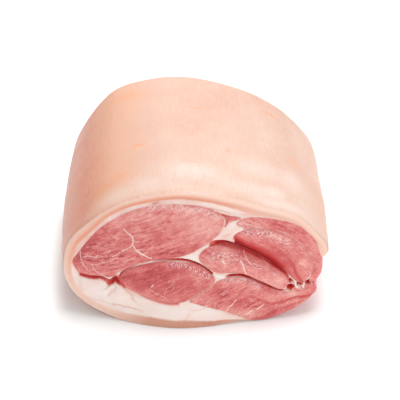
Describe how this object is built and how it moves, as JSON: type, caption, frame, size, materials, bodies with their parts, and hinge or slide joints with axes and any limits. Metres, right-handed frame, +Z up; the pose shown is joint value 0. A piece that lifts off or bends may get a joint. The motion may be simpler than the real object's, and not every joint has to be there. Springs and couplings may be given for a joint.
{
  "type": "pork leg joint",
  "caption": "Raw boneless joint of pork leg with its rind on, lying flat, with muscles set in white fat showing at each cut face.",
  "frame": {"origin": "the middle of the underside of the bounding box", "axes": "+X across the cut face, to the right as seen from the front; +Y through the joint, away from the front cut face; +Z up"},
  "size_m": [0.2004, 0.1688, 0.1159],
  "materials": {
    "rind_fat": "satin",
    "meat": "wet, glossy"
  },
  "bodies": {
    "root": {"rind_fat": "rind_fat", "muscle_upper_left": "meat", "muscle_lower_left": "meat", "muscle_centre": "meat", "muscle_upper_right": "meat", "muscle_outer_right": "meat", "muscle_lower_right": "meat", "muscle_wedge": "meat"}
  },
  "joints": []
}
